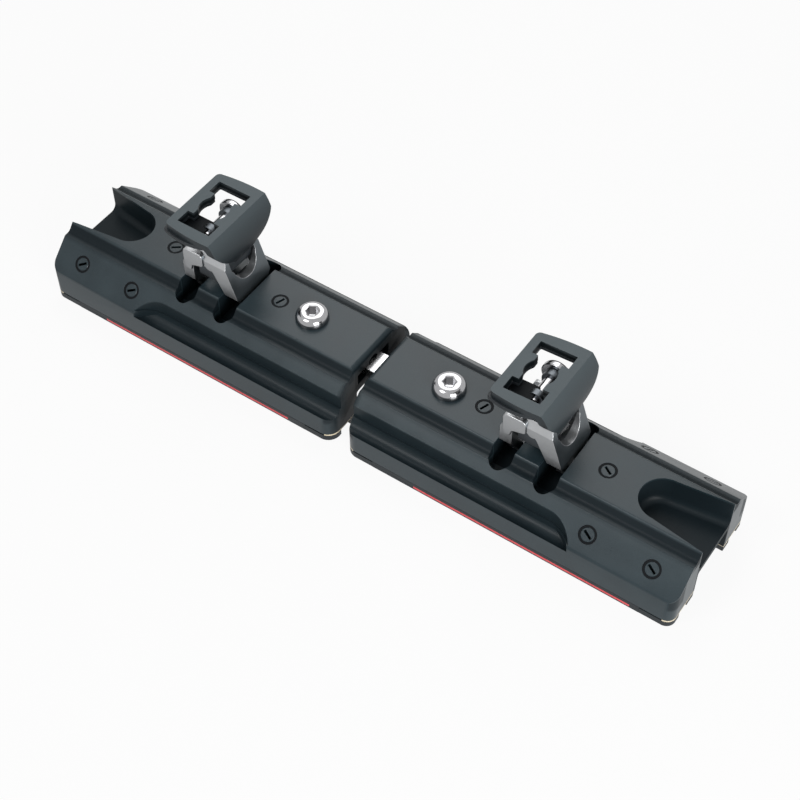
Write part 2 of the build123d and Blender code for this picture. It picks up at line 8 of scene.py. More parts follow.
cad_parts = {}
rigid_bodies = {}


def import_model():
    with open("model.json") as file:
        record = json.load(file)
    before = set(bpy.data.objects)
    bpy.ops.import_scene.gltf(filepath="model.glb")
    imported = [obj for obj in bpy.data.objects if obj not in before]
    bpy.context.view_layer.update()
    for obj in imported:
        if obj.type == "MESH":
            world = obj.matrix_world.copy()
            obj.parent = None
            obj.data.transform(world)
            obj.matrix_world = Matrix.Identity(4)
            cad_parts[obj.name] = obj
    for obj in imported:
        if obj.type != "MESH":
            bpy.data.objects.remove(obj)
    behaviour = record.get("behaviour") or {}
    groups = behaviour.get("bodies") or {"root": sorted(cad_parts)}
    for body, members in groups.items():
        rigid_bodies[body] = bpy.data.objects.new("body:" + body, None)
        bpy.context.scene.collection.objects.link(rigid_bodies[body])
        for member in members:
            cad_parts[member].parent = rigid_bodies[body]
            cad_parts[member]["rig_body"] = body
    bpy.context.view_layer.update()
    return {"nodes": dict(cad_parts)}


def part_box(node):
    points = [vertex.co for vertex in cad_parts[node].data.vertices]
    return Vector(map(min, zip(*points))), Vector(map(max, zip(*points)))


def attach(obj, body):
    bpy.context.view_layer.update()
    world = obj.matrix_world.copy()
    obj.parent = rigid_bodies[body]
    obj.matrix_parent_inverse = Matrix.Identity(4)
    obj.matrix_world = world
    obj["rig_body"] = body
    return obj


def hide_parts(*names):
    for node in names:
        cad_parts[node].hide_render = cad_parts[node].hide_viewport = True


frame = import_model()
print("frame loaded")

nodes = frame["nodes"]
mm = 0.001
beyond = 30.0  # past the side of any toggle piece, for cuts right through it
aloft = 60.0  # above any toggle piece


class Link:  # one socket of a material, with arithmetic on it
    def __init__(self, tree, socket=None):
        self.tree = tree
        self.socket = socket

    def add(self, kind, settings=None, inputs=None, out=0):
        made = self.tree.nodes.new(kind)
        for name, value in (settings or {}).items():
            setattr(made, name, value)
        for name, value in (inputs or {}).items():
            if isinstance(value, Link):
                self.tree.links.new(value.socket, made.inputs[name])
            else:
                made.inputs[name].default_value = value
        return Link(self.tree, made.outputs[out])

    def maths(self, operation, first, second):
        return self.add("ShaderNodeMath", {"operation": operation}, {0: first, 1: second})

    def __add__(self, other):
        return self.maths("ADD", self, other)

    def __radd__(self, other):
        return self.maths("ADD", other, self)

    def __sub__(self, other):
        return self.maths("SUBTRACT", self, other)

    def __rsub__(self, other):
        return self.maths("SUBTRACT", other, self)

    def __mul__(self, other):
        return self.maths("MULTIPLY", self, other)

    def __rmul__(self, other):
        return self.maths("MULTIPLY", other, self)

    def size(self):
        return self.maths("ABSOLUTE", self, 0)

    def larger(self, other):
        return self.maths("MAXIMUM", self, other)

    def above(self, low, high):  # 0 below low, 1 above high
        limits = {"Value": self, "From Min": low, "From Max": high}
        return self.add("ShaderNodeMapRange", {"clamp": True}, limits)

    def tint(self, dark, light):
        dark, light = (c if isinstance(c, Link) else (*c, 1) for c in (dark, light))
        colours = {"Factor": self, 6: dark, 7: light}
        return self.add("ShaderNodeMix", {"data_type": "RGBA"}, colours, 2)

    def part(self, axis):
        return self.add("ShaderNodeSeparateXYZ", None, {0: self}, axis)


def newMaterial(name):
    made = bpy.data.materials.new(name)
    made.use_nodes = True
    return made, made.node_tree.nodes["Principled BSDF"], position(made)


def position(material):
    return Link(material.node_tree).add("ShaderNodeTexCoord", out=3)


def direction(material):
    return Link(material.node_tree).add("ShaderNodeTexCoord", out=1)


def noise(place, scale, detail=3.0, stretch=(1, 1, 1)):
    if stretch != (1, 1, 1):
        place = place.add("ShaderNodeMapping", None, {"Vector": place, "Scale": stretch})
    return place.add("ShaderNodeTexNoise", None, {"Vector": place, "Scale": scale, "Detail": detail})


def connect(shader, name, value):
    if isinstance(value, Link):
        value.tree.links.new(value.socket, shader.inputs[name])
    else:
        shader.inputs[name].default_value = value


def bump(height, strength, distance, below=None):
    inputs = {"Height": height, "Strength": strength, "Distance": distance}
    if below:
        inputs["Normal"] = below
    return height.add("ShaderNodeBump", None, inputs)


# Anodised and moulded finishes: a cloudy colour, and a fine grain of the given depth
cloud = {"scale": 55, "share": 0.6, "span": (0.35, 0.65), "strength": 0.1, "depth": 0.0004, "grain": 0.35}
finishes = {
    "anodised": {
        "dark": (0.012, 0.021, 0.026), "light": (0.019, 0.031, 0.037),
        "gloss": 0.28, "rough": (0.27, 0.38), "grain": 2600, "depth": 0.00002, "streak": 0.6,
    },
    "moulded": {
        "dark": (0.010, 0.013, 0.016), "light": (0.016, 0.020, 0.023),
        "gloss": 0.25, "rough": (0.42, 0.55), "grain": 1700, "depth": 0.00004, "streak": 1.0,
    },
    "hood": {
        "dark": (0.004, 0.006, 0.008), "light": (0.008, 0.011, 0.013),
        "gloss": 0.15, "rough": (0.34, 0.46), "grain": 2000, "depth": 0.00003, "streak": 1.0,
    },
    "greyMoulded": {
        "dark": (0.016, 0.019, 0.022), "light": (0.026, 0.031, 0.035),
        "gloss": 0.25, "rough": (0.45, 0.55), "grain": 1800, "depth": 0.00003, "streak": 1.0,
    },
    "cream": {
        "dark": (0.50, 0.43, 0.30), "light": (0.62, 0.55, 0.42),
        "gloss": 0.4, "rough": (0.45, 0.6), "grain": 1500, "depth": 0.00003, "streak": 1.0,
    },
    # Near-black: painted shade on the sheet under each hood window, and the seal rings' own black
    "shade": {
        "dark": (0.003, 0.004, 0.005), "light": (0.006, 0.007, 0.008),
        "gloss": 0.08, "rough": (0.5, 0.6), "grain": 1500, "depth": 0.00002, "streak": 1.0,
    },
}
# Steels: a tone, a range of roughness, and a grain that may run one way
steels = {
    "castSteel": {"tone": (0.42, 0.43, 0.44), "rough": (0.28, 0.42), "depth": 0.000008},
    "groundSteel": {"tone": (0.66, 0.66, 0.67), "rough": (0.14, 0.26), "streak": (1, 8, 8)},
    "barSteel": {"tone": (0.58, 0.58, 0.59), "rough": (0.2, 0.32), "streak": (0.05, 1, 1), "grain": 1200},
    "brightSteel": {"tone": (0.38, 0.38, 0.39), "rough": (0.08, 0.18)},
    "darkSteel": {"tone": (0.36, 0.36, 0.37), "rough": (0.14, 0.24)},
    # shadedCast is cast steel painted darker: painted shade for the drum ends under the arch and the fork
    # under the hood
    "shadedCast": {"tone": (0.10, 0.11, 0.12), "rough": (0.30, 0.42)},
}
steelUsual = {
    "streak": (1, 1, 1), "grain": 900, "depth": 0.000006, "strength": 0.2, "darker": 0.86,
    "cloud": 90, "cloudShare": 0.6, "cloudDepth": 0.0001, "cloudStrength": 0.04,
}

redLine = {
    "dark": (0.52, 0.045, 0.055), "light": (0.66, 0.075, 0.085), "grain": 400,
    "rough": 0.38, "duller": 0.15,
}


def grainyMaterial(name):
    look = finishes[name]
    made, shader, place = newMaterial(name)
    coarse = noise(place, cloud["scale"], 4)
    fine = noise(place, look["grain"], 2, (look["streak"], 1, 1))
    spread = (coarse * cloud["share"] + fine * (1 - cloud["share"])).above(*cloud["span"])
    connect(shader, "Base Color", spread.tint(look["dark"], look["light"]))
    low, high = look["rough"]
    connect(shader, "Roughness", (coarse * 0.5 + fine * 0.5).above(0.3, 0.7) * (high - low) + low)
    connect(shader, "Specular IOR Level", look["gloss"])
    below = bump(coarse, cloud["strength"], cloud["depth"])
    connect(shader, "Normal", bump(fine, cloud["grain"], look["depth"], below))
    return made


def steelMaterial(name):
    look = {**steelUsual, **steels[name]}
    made, shader, place = newMaterial(name)
    brushed = noise(place, look["grain"], 3, look["streak"])
    cloudy = noise(place, look["cloud"], 4)
    spread = (brushed * (1 - look["cloudShare"]) + cloudy * look["cloudShare"]).above(0.3, 0.7)
    connect(shader, "Base Color", spread.tint([look["darker"] * c for c in look["tone"]], look["tone"]))
    low, high = look["rough"]
    connect(shader, "Roughness", spread * (high - low) + low)
    connect(shader, "Metallic", 1.0)
    below = bump(cloudy, look["cloudStrength"], look["cloudDepth"])
    connect(shader, "Normal", bump(brushed, look["strength"], look["depth"], below))
    return made


def redMaterial():
    made, shader, place = newMaterial("redLine")
    fine = noise(place, redLine["grain"], 3)
    connect(shader, "Base Color", fine.above(0.3, 0.7).tint(redLine["dark"], redLine["light"]))
    connect(shader, "Roughness", fine * redLine["duller"] + redLine["rough"])
    return made


materials = {name: grainyMaterial(name) for name in finishes}
materials.update({name: steelMaterial(name) for name in steels})
materials["redLine"] = redMaterial()


def paintedLightTint(name, mask, tone):
    # Another base colour where the mask is 1, for painted light and shade on faces that point one way
    tree = materials[name].node_tree
    shader = tree.nodes["Principled BSDF"]
    before = Link(tree, shader.inputs["Base Color"].links[0].from_socket)
    connect(shader, "Base Color", mask.tint(before, tone))


# Roughness and gloss of the matt dark shader that paints shade
paintedShadeFinish = {"rough": 0.55, "gloss": 0.06}


def mixPaintedShade(name, mask, tone):
    # Painted shade: mixes a matt dark shader in where the mask is 1
    tree = materials[name].node_tree
    matt = tree.nodes.new("ShaderNodeBsdfPrincipled")
    matt.inputs["Base Color"].default_value = (*tone, 1)
    matt.inputs["Roughness"].default_value = paintedShadeFinish["rough"]
    matt.inputs["Specular IOR Level"].default_value = paintedShadeFinish["gloss"]
    mixed = tree.nodes.new("ShaderNodeMixShader")
    tree.links.new(mask.socket, mixed.inputs[0])
    tree.links.new(tree.nodes["Principled BSDF"].outputs[0], mixed.inputs[1])
    tree.links.new(matt.outputs[0], mixed.inputs[2])
    tree.links.new(mixed.outputs[0], tree.nodes["Material Output"].inputs["Surface"])


def past(value, span):  # 0 before a span in millimetres, 1 after it
    return value.above(span[0] * mm, span[1] * mm)


# Where painted shade darkens a car body, in millimetres out from the middle, up, along, and below the flank
recessShade = {
    "rootIn": (16.5, 17.3), "rootOut": (20.8, 25.0), "rootUp": (30.0, 31.0), "rootShare": 0.85,
    "flankUp": 34.2, "flankOut": 23.4, "flankSlope": 0.966,
    "coveSunk": (0.3, 1.2), "coveIn": (28.4, 28.8), "coveOut": (37.4, 37.7),
    "coveUp": (12.5, 14.5), "coveShare": 0.6,
    "hollowUp": (37.0, 38.5), "hollowOut": (16.1, 16.4), "hollowShare": 0.8,
    "joined": (4.2, 6.8), "joinedShare": 0.7, "tone": (0.005, 0.008, 0.010),
}


def recessShadeMask():
    # Painted shade in the roots beside the land, side coves, end pockets, trenches and the ends that face
    # each other
    place = position(materials["anodised"])
    along, out, up = place.part(0).size(), place.part(1).size(), place.part(2)
    root = past(out, recessShade["rootIn"]) * (1 - past(out, recessShade["rootOut"])) * past(up, recessShade["rootUp"])
    flank = recessShade["flankUp"] * mm - (out - recessShade["flankOut"] * mm) * recessShade["flankSlope"]
    cove = past(flank - up, recessShade["coveSunk"]) * past(out, recessShade["coveIn"])
    cove = cove * (1 - past(out, recessShade["coveOut"])) * past(up, recessShade["coveUp"])
    hollow = (1 - past(up, recessShade["hollowUp"])) * (1 - past(out, recessShade["hollowOut"]))
    joined = 1 - past(along, recessShade["joined"])
    deep = (hollow * recessShade["hollowShare"]).larger(joined * recessShade["joinedShare"])
    return (root * recessShade["rootShare"]).larger((cove * recessShade["coveShare"]).larger(deep))


# Painted shade on the walls of both hood windows, below the roof's top
windowShade = {
    "middles": (-100.8, 91.4), "half": (10.4, 10.9), "deep": (17.3, 17.7), "top": (82.4, 83.2),
    "tone": (0.004, 0.006, 0.007),
}


def windowShadeMask():
    # 1 on the window walls, where the dark shader paints shade
    place = position(materials["hood"])
    along, out, up = (place.part(axis) for axis in (0, 1, 2))
    beside = [1 - past((along - x * mm).size(), windowShade["half"]) for x in windowShade["middles"]]
    inside = (beside[0] + beside[1]) * (1 - past(out.size(), windowShade["deep"]))
    return inside * (1 - past(up, windowShade["top"]))


# Painted light and shade by how light falls on each side. Tones that a piece takes where it faces a way: its
# axis, the range of the turn, the colour
facingLightAndShade = [
    ("castSteel", 0, (0.80, 0.93), (0.12, 0.135, 0.145)),
    ("castSteel", 1, (0.10, 0.60), (0.20, 0.21, 0.22)),
    ("hood", 2, (-0.2, 0.95), (0.072, 0.089, 0.097)),
]
# Painted shade in the bodies' recesses and the hood windows, and painted light and shade by the way faces
# point
mixPaintedShade("anodised", recessShadeMask(), recessShade["tone"])
for name, axis, (low, high), tone in facingLightAndShade:
    paintedLightTint(name, direction(materials[name]).part(axis).above(low, high), tone)
mixPaintedShade("hood", windowShadeMask(), windowShade["tone"])
print("materials made")


def rounded(made, width, angle=32.0):
    edge = made.modifiers.new("edges", "BEVEL")
    edge.width = width * mm
    edge.segments = 3
    edge.limit_method = "ANGLE"
    edge.angle_limit = radians(angle)
    edge.harden_normals = True
    edge.use_clamp_overlap = True
    edge.miter_outer = "MITER_ARC"
    return made


def standFor(made, node):
    bpy.context.scene.collection.objects.link(made)
    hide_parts(node)
    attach(made, nodes[node]["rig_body"])
    return made


def dressed(node, material, width, angle=32.0):
    # A merged copy of a CAD node whose sharp edges are rounded
    mesh = nodes[node].data.copy()
    mesh.name = node + "Dressed"
    shape = bmesh.new()
    shape.from_mesh(mesh)
    bmesh.ops.remove_doubles(shape, verts=shape.verts, dist=1e-6)
    bmesh.ops.dissolve_limit(shape, angle_limit=radians(0.6), verts=shape.verts, edges=shape.edges)
    for face in shape.faces:
        face.smooth = True
    for edge in shape.edges:
        edge.smooth = not (len(edge.link_faces) == 2 and edge.calc_face_angle(0) > radians(angle))
    shape.to_mesh(mesh)
    shape.free()
    mesh.materials.clear()
    mesh.materials.append(material)
    made = bpy.data.objects.new(node + "Dressed", mesh)
    return standFor(rounded(made, width, angle), node)


def paint(node, material):
    mesh = nodes[node].data
    for i in range(len(mesh.materials)):
        mesh.materials[i] = material
    if not mesh.materials:
        mesh.materials.append(material)


# Material of each kind of CAD node that is shown, and how far its edges are rounded
looks = {
    "car_body": ("anodised", 0.35),
    "end_cap": ("moulded", 0.25),
    "ball_guide": ("cream", 0.1),
    "ball_retainer": ("moulded", 0.2),
    "red_stripe": ("redLine", 0.0),
    "cap_screws": ("groundSteel", 0.1),
    "base_pin": ("groundSteel", 0.0),
    "coupler_bush": ("greyMoulded", 0.1),
    "coupler_link": ("barSteel", 0.3),
}
for node in sorted(nodes):
    for kind, (material, width) in looks.items():
        if node.startswith(kind) and width:
            dressed(node, materials[material], width)
        elif node.startswith(kind):
            paint(node, materials[material])
print("nodes dressed")


def finished(shape, name, material, node, smoothAngle=30.0):
    # Turns a bmesh into the object that stands for a CAD node
    bmesh.ops.remove_doubles(shape, verts=shape.verts, dist=1e-6)
    bmesh.ops.recalc_face_normals(shape, faces=shape.faces)
    for face in shape.faces:
        face.smooth = True
    for edge in shape.edges:
        edge.smooth = len(edge.link_faces) == 2 and edge.calc_face_angle(0) < radians(smoothAngle)
    mesh = bpy.data.meshes.new(name)
    shape.to_mesh(mesh)
    shape.free()
    mesh.materials.append(materials[material])
    return standFor(bpy.data.objects.new(name, mesh), node)


def turnedProfile(points, steps):
    # A line of (radius, height) points, in millimetres, spun round Z
    shape = bmesh.new()
    line = [shape.verts.new((radius * mm, 0, height * mm)) for radius, height in points]
    runs = [shape.edges.new(pair) for pair in zip(line, line[1:])]
    spun = {"axis": (0, 0, 1), "cent": (0, 0, 0), "steps": steps, "angle": 2 * pi, "use_merge": True}
    bmesh.ops.spin(shape, geom=line + runs, **spun)
    return shape


def arc(across, up, radius, start, end, steps=12):
    turns = [radians(start + (end - start) * i / steps) for i in range(steps + 1)]
    return [(across + radius * cos(turn), up + radius * sin(turn)) for turn in turns]


def outlined(parts):
    # Points of an outline, in which six numbers are an arc
    line = []
    for part in parts:
        line += arc(*part) if len(part) == 6 else [part]
    return line


def rectangle(halfAcross, halfUp):
    return [(-halfAcross, -halfUp), (halfAcross, -halfUp), (halfAcross, halfUp), (-halfAcross, halfUp)]


def mirrored(points):
    # An outline closed by its own mirror image across the middle
    return points + [(-across, up) for across, up in reversed(points)]


def bowed(first, middle, last, steps=14):
    # Points of the arc through three points
    (ax, ay), (bx, by), (cx, cy) = first, middle, last
    scale = 2 * (ax * (by - cy) + bx * (cy - ay) + cx * (ay - by))
    aa, bb, cc = ax * ax + ay * ay, bx * bx + by * by, cx * cx + cy * cy
    ox = (aa * (by - cy) + bb * (cy - ay) + cc * (ay - by)) / scale
    oy = (aa * (cx - bx) + bb * (ax - cx) + cc * (bx - ax)) / scale
    reach = Vector((ax - ox, ay - oy))
    start = atan2(reach.y, reach.x)
    sweep = (atan2(cy - oy, cx - ox) - start) % (2 * pi)
    if (atan2(by - oy, bx - ox) - start) % (2 * pi) > sweep:
        sweep -= 2 * pi
    turns = [start + sweep * i / steps for i in range(steps + 1)]
    return [(ox + reach.length * cos(turn), oy + reach.length * sin(turn)) for turn in turns]


def prism(points, free, low, high):
    # A flat outline, in millimetres, drawn out along the axis that it leaves free
    shape = bmesh.new()
    place = {"x": (2, 0, 1), "y": (0, 2, 1), "z": (0, 1, 2)}[free]
    corners = [shape.verts.new([(u, v, low)[i] * mm for i in place]) for u, v in points]
    drawn = bmesh.ops.extrude_face_region(shape, geom=[shape.faces.new(corners)])["geom"]
    lift = [(0, 0, high - low)[i] * mm for i in place]
    top = [v for v in drawn if isinstance(v, bmesh.types.BMVert)]
    bmesh.ops.translate(shape, verts=top, vec=lift)
    bmesh.ops.recalc_face_normals(shape, faces=shape.faces)
    return shape


def combined(first, operation, second):
    # Two shapes become one through the Boolean modifier of a short-lived object
    pair = []
    for shape in (first, second):
        mesh = bpy.data.meshes.new("part")
        shape.to_mesh(mesh)
        shape.free()
        pair.append(bpy.data.objects.new("part", mesh))
        bpy.context.scene.collection.objects.link(pair[-1])
    join = pair[0].modifiers.new("join", "BOOLEAN")
    join.operation = operation
    join.solver = "EXACT"
    join.object = pair[1]
    graph = bpy.context.evaluated_depsgraph_get()
    result = bmesh.new()
    result.from_mesh(pair[0].evaluated_get(graph).to_mesh())
    for made in pair:
        mesh = made.data
        bpy.data.objects.remove(made)
        bpy.data.meshes.remove(mesh)
    bmesh.ops.remove_doubles(result, verts=result.verts, dist=2e-6)
    bmesh.ops.dissolve_limit(result, angle_limit=radians(0.5), verts=result.verts, edges=result.edges)
    return result


# Coupler screws: a domed head with a hexagon socket, on a plain shank
screw = {
    "height": 5.5, "shank": 5.0, "rim": 0.9, "dome": 5.4, "crown": 0.58, "edge": 0.3,
    "socket": 3.46, "socketDepth": 3.0, "lip": 0.7, "lead": 0.35, "steps": 60, "bends": 9,
}


def openLoop(shape, level):
    return [edge for edge in shape.edges if edge.is_boundary and edge.verts[0].co.z * level > 0]


def screwShape(head, foot):
    crown = head * screw["crown"]
    outline = [(screw["shank"], foot), (screw["shank"], 0.0), (head - screw["edge"], 0.0)]
    outline += [(head, screw["edge"]), (head, screw["rim"])]
    for i in range(1, screw["bends"]):
        bend = i / screw["bends"] * pi / 2
        rise = screw["rim"] + (screw["dome"] - screw["rim"]) * sin(bend)
        outline.append((crown + (head - crown) * cos(bend), rise))
    outline += [(crown, screw["dome"]), (screw["socket"] + screw["lip"], screw["dome"])]
    shape = turnedProfile(outline, screw["steps"])
    rim = openLoop(shape, 1)
    corners = bmesh.ops.create_circle(shape, segments=6, radius=screw["socket"] * mm, cap_ends=False)["verts"]
    sides = list({edge for corner in corners for edge in corner.link_edges})
    bmesh.ops.subdivide_edges(shape, edges=sides, cuts=screw["steps"] // 6 - 1)
    hexagon = [edge for edge in shape.edges if edge.is_wire]
    corners = list({corner for edge in hexagon for corner in edge.verts})
    bmesh.ops.translate(shape, verts=corners, vec=(0, 0, (screw["dome"] - screw["lead"]) * mm))
    bmesh.ops.bridge_loops(shape, edges=rim + hexagon)
    walls = bmesh.ops.extrude_edge_only(shape, edges=openLoop(shape, 1))["geom"]
    bottom = [v for v in walls if isinstance(v, bmesh.types.BMVert)]
    bmesh.ops.translate(shape, verts=bottom, vec=(0, 0, -screw["socketDepth"] * mm))
    for level in (1, -1):
        bmesh.ops.contextual_create(shape, geom=openLoop(shape, level))
    return shape


for car in "ab":
    low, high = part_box("coupler_screw_" + car)
    deck = high.z - screw["height"] * mm
    shape = screwShape((high.x - low.x) / 2 / mm, (low.z - deck) / mm)
    bmesh.ops.translate(shape, verts=shape.verts, vec=((low.x + high.x) / 2, (low.y + high.y) / 2, deck))
    finished(shape, "couplerScrew" + car.upper(), "brightSteel", "coupler_screw_" + car, 35)

# Slotted plugs, each in a black seal ring, with their places along a car and the turns of their slots
plug = {
    "radius": 3.55, "edge": 0.3, "sealIn": 3.5, "sealOut": 4.66, "top": -0.15, "low": -1.1, "over": 1.0,
    "slotLong": 5.2, "slotWide": 1.35, "steps": 40,
    "deckUp": 38.7, "deckAlong": (62.6, 132.1), "sideAlong": (139.5, 173.7),
    "turns": {
        "a": {"deck": (70, 35), "near": (30, 35), "far": (62, 20)},
        "b": {"deck": (70, -32), "near": (-31, -31), "far": (62, 20)},
    },
}
flank = {"topOut": 23.4, "topUp": 34.2, "plugOut": 30.3, "lean": 44}


def slottedPlug(slotTurn):
    radius, low, edge = plug["radius"], plug["low"], plug["edge"]
    outline = [(0.0, low), (radius, low), (radius, -edge), (radius - edge, 0.0), (0.0, 0.0)]
    disc = turnedProfile(outline, plug["steps"])
    bmesh.ops.recalc_face_normals(disc, faces=disc.faces)
    slot = prism(rectangle(plug["slotLong"] / 2, plug["slotWide"] / 2), "z", low, plug["over"])
    turn = Matrix.Rotation(radians(slotTurn), 3, "Z")
    bmesh.ops.rotate(slot, verts=slot.verts, cent=(0, 0, 0), matrix=turn)
    return combined(disc, "DIFFERENCE", slot)


def sealRing():
    inner, outer, top, low = plug["sealIn"], plug["sealOut"], plug["top"], plug["low"]
    outline = [(inner, low), (outer, low), (outer, top), (inner, top), (inner, low)]
    return turnedProfile(outline, plug["steps"])


def gathered(whole, one):
    part = bpy.data.meshes.new("part")
    one.to_mesh(part)
    one.free()
    whole.from_mesh(part)
    bpy.data.meshes.remove(part)


def plugSet(kind, name, car, spots):
    discs, seals = bmesh.new(), bmesh.new()
    for x, y, z, tilt, turn in spots:
        lift = Matrix.Translation((x * mm, y * mm, z * mm)) @ Matrix.Rotation(radians(tilt), 4, "X")
        for whole, one in ((discs, slottedPlug(turn)), (seals, sealRing())):
            bmesh.ops.transform(one, matrix=lift, verts=one.verts)
            gathered(whole, one)
    finished(discs, name + car.upper(), "anodised", kind + car, 20)
    finished(seals, name + "Seals" + car.upper(), "shade", kind + car)


flankUp = flank["topUp"] - (flank["plugOut"] - flank["topOut"]) * tan(radians(flank["lean"]))
for car in "ab":
    facingOut = -1 if car == "a" else 1
    turns = plug["turns"][car]
    deckSpots, sideSpots = [], []
    for x, turn in zip(plug["deckAlong"], turns["deck"]):
        deckSpots.append((facingOut * x, 0, plug["deckUp"], 0, turn))
    for side, name in ((-1, "near"), (1, "far")):
        for x, turn in zip(plug["sideAlong"], turns[name]):
            sideSpots.append((facingOut * x, side * flank["plugOut"], flankUp, -side * flank["lean"], turn))
    plugSet("deck_plugs_", "deckPlugs", car, deckSpots)
    plugSet("side_plugs_", "sidePlugs", car, sideSpots)

# Bearing balls: true spheres where the CAD rows hold faceted ones
bearing = {"radius": 4.45, "cadBall": 9.0, "pitch": 9.9, "around": 24, "rings": 14}
ballMesh = {"u_segments": bearing["around"], "v_segments": bearing["rings"], "radius": bearing["radius"] * mm}
for node in [name for name in sorted(nodes) if name.startswith("ball_row")]:
    low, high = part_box(node)
    count = 1 + round(((high.x - low.x) / mm - bearing["cadBall"]) / bearing["pitch"])
    shape = bmesh.new()
    for i in range(count):
        ball = bmesh.ops.create_uvsphere(shape, **ballMesh)
        along = low.x + (bearing["cadBall"] / 2 + i * bearing["pitch"]) * mm
        place = (along, (low.y + high.y) / 2, (low.z + high.z) / 2)
        bmesh.ops.translate(shape, verts=ball["verts"], vec=place)
    side = node[len("ball_row"):].replace("_", " ").title().replace(" ", "")
    finished(shape, "bearingRow" + side, "brightSteel", node, 60)

print("turned pieces made")

# Toggles are drawn in a frame of their own: x along the track, z up from the deck
toggle = {"centre": {"a": -97.0, "b": 97.0}, "deck": 38.7, "pivot": 17.0, "lean": {"a": 0.0, "b": -3.7}}


def standing(shape, car, leaning):
    # From that frame to its place on a car, leant about the yoke pin
    pivot = Matrix.Translation((0, 0, toggle["pivot"] * mm))
    lean = toggle["lean"][car] if leaning else 0
    turn = pivot @ Matrix.Rotation(radians(lean), 4, "Y") @ pivot.inverted()
    place = Matrix.Translation((toggle["centre"][car] * mm, 0, toggle["deck"] * mm))
    bmesh.ops.transform(shape, matrix=place @ turn, verts=shape.verts)
    return shape


def across(shape, x, z, turn):
    # A turned piece laid along Y at a place in the toggle's frame
    lift = Matrix.Translation((x * mm, 0, z * mm)) @ Matrix.Rotation(radians(turn), 4, "X")
    bmesh.ops.transform(shape, matrix=lift, verts=shape.verts)
    return shape


# Toggle base: legs in the trenches, an arch between them, arms with a notch
base = {
    "leg": 17.3, "deep": 14.0, "top": 24.5, "eye": 6.4, "drop": 8.9, "bore": 4.05,
    "cheek": [(14.0, 2), (14.0, 20.5), (11.4, 24.5)],
    "rightEdge": [(17.3, 3.0), (10.6, 22.5), (9.9, 23.8), (8.8, 24.4)],
    "leftEdge": [(-11.6, 24.5), (-12.8, 23.9), (-13.6, 22.9), (-17.3, 12.0)],
    "arch": [
        (-10.4, -30), (-5.6, 11.4, 4.8, 180, 95, 8), (-1.2, 11.6, 4.8, 88, 22, 8),
        (6.9, 6.5), (10.6, -0.5), (10.9, -4.0), (10.9, -30),
    ],
    "armIn": 9.8, "notch": 17.5, "notchRound": 9.0, "bowl": 10.7, "bowlFloor": 5.5, "edges": 0.55,
}
# A squared boss on the near arm, and the ends of the drum that show under the arch
lug = {
    "outline": [
        (-12.4, 20.6, 3.4, 90, 180, 5), (-12.6, 12.4, 3.2, 180, 270, 5), (-11.2, 9.4), (-10.2, 13.4),
        (-5.0, 17.6, 2.4, 270, 340, 4), (-5.2, 21.8, 2.2, 10, 90, 4),
    ],
    "near": -15.0, "far": -10.4, "edges": 0.6,
}
drum = {
    "outline": [
        (-5.0, 6.2, 3.2, 180, 270, 6), (2.2, 6.2, 3.2, 270, 350, 6), (5.0, 8.6), (2.8, 12.2),
        (-1.6, 10.8, 3.8, 30, 90, 4), (-5.0, 11.4, 3.2, 90, 180, 6),
    ],
    "inner": 9.9, "outer": 12.2, "edges": 0.6,
    "clear": [(9.0, 5.4), (14.0, 7.75), (14.0, 20.0), (9.0, 20.0)],  # free of the deck when tilted
}


def baseShape():
    eye = arc(0, -base["drop"], base["eye"], 180, 360, 16)
    side = eye + mirrored(base["cheek"])
    foot = -base["drop"] - base["eye"]
    gable = [(-base["leg"], foot), (base["leg"], foot)] + base["rightEdge"] + base["leftEdge"]
    solid = prism(gable, "y", -beyond, beyond)
    shape = combined(prism(side, "x", -base["leg"], base["leg"]), "INTERSECT", solid)
    armIn, level = base["armIn"], base["notch"]
    notch = arc(0, level, base["notchRound"], 180, 360, 20)[1:-1]
    notch = [(-armIn, aloft), (-armIn, level)] + notch + [(armIn, level), (armIn, aloft)]
    shape = combined(shape, "DIFFERENCE", prism(notch, "x", -beyond, beyond))
    shape = combined(shape, "DIFFERENCE", prism(outlined(base["arch"]), "y", -beyond, beyond))
    bowl = prism(rectangle(base["bowl"], armIn), "z", base["bowlFloor"], aloft)
    shape = combined(shape, "DIFFERENCE", bowl)
    bore = prism(arc(0, -base["drop"], base["bore"], 0, 350, 35), "x", -beyond, beyond)
    return combined(shape, "DIFFERENCE", bore)


def drumShape(side):
    low, high = sorted((side * drum["inner"], side * drum["outer"]))
    clear = prism([(side * y, z) for y, z in drum["clear"]], "x", -beyond, beyond)
    return combined(prism(outlined(drum["outline"]), "y", low, high), "INTERSECT", clear)


# Yoke pins, flush in the arms of the base
yokePin = {"radius": 2.9, "half": 13.4, "steps": 32}


def yokePinShape():
    radius, half = yokePin["radius"], yokePin["half"]
    plain = turnedProfile([(0.0, -half), (radius, -half), (radius, half), (0.0, half)], yokePin["steps"])
    return across(plain, 0, toggle["pivot"], 90)


for car in "ab":
    node = "toggle_base_" + car
    ending = car.upper()
    boss = prism(outlined(lug["outline"]), "y", lug["near"], lug["far"])
    pieces = [("toggleBase", baseShape(), "castSteel", base), ("toggleLug", boss, "castSteel", lug)]
    for side, name in ((-1, "Near"), (1, "Far")):
        pieces.append(("toggleDrum" + name, drumShape(side), "shadedCast", drum))
    for name, shape, material, sizes in pieces:
        rounded(finished(standing(shape, car, False), name + ending, material, node), sizes["edges"])
for car in "ab":
    finished(standing(yokePinShape(), car, False), "yokePin" + car.upper(), "castSteel", "yoke_pin_" + car)

